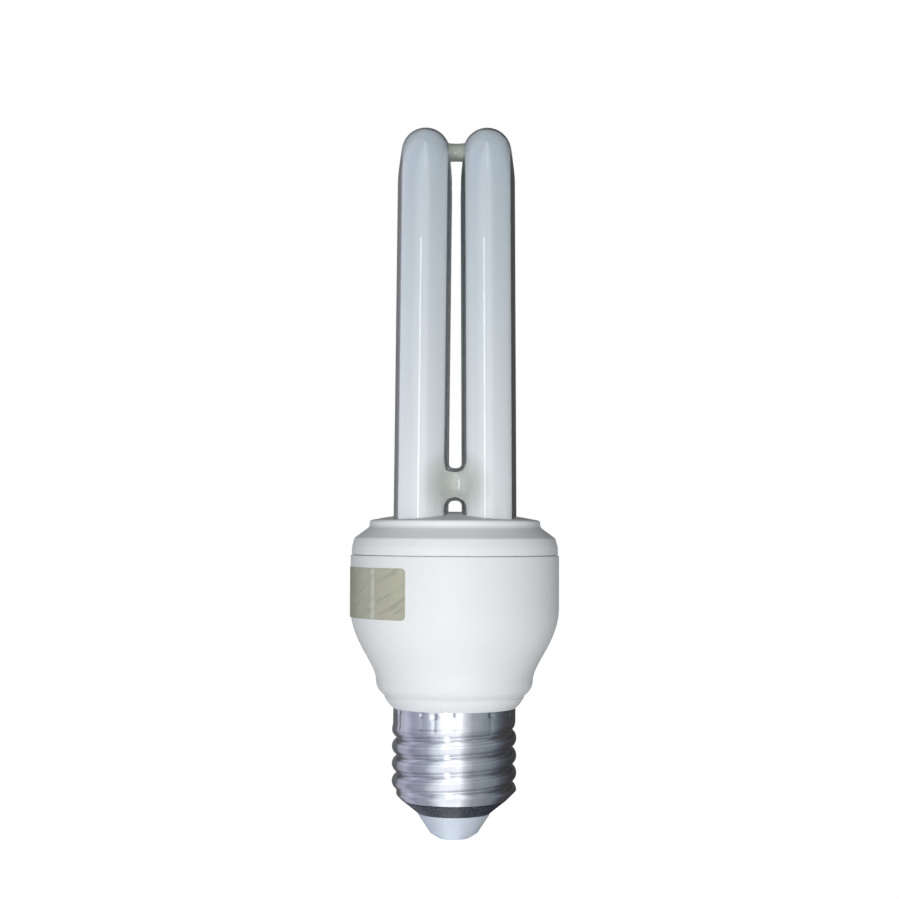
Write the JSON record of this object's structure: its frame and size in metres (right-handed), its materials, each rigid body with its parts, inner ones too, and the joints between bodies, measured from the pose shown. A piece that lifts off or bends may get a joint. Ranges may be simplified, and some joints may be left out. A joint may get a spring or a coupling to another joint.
{
  "type": "compact fluorescent lamp",
  "caption": "U shaped fluorescent bulb: twin U tubes of coated glass on a goblet shaped ballast housing with a screw cap.",
  "frame": {"origin": "on the lamp's axis, at the lowest face of the centre contact", "axes": "+Z along the lamp's axis, from the cap to the tops of the tubes; each U tube spans along Y, and the two stand side by side along X"},
  "size_m": [0.0441, 0.044, 0.1502],
  "materials": {
    "coated_glass": "clear glass, white phosphor coat inside",
    "bond": "translucent silicone",
    "white_plastic": "moulded, low gloss",
    "cement": "cast",
    "sticker_film": "satin film",
    "nickel_plate": "bright nickel plate on rolled sheet",
    "dark_glass": "opaque dark glass",
    "contact_metal": "dull plate",
    "board_laminate": "pressed laminate",
    "can_sleeve": "shrink sleeve",
    "ferrite": "sintered",
    "bobbin_plastic": "moulded",
    "copper_wire": "enamelled",
    "component_plastic": "moulded",
    "film_coating": "dipped",
    "resistor_coating": "dipped",
    "tinned_wire": "tinned",
    "lead_sleeve": "insulated"
  },
  "bodies": {
    "root": {"discharge_tube": "coated_glass", "top_bond": "bond", "tube_cover": "white_plastic", "ballast_housing": "white_plastic", "tube_cement": "cement", "label_sticker": "sticker_film", "screw_shell": "nickel_plate", "cap_insulator": "dark_glass", "centre_contact": "contact_metal", "circuit_board": "board_laminate", "smoothing_capacitor": "can_sleeve", "choke_core": "ferrite", "choke_bobbin": "bobbin_plastic", "choke_winding": "copper_wire", "drive_toroid": "ferrite", "toroid_windings": "copper_wire", "transistor_1": "component_plastic", "transistor_2": "component_plastic", "resonant_capacitor": "film_coating", "coupling_capacitor": "film_coating", "rectifier_diodes": "component_plastic", "resistors": "resistor_coating", "diac": "resistor_coating", "wrap_pins": "tinned_wire", "electrode_leads": "tinned_wire", "contact_lead": "lead_sleeve", "shell_lead": "lead_sleeve"}
  },
  "joints": []
}
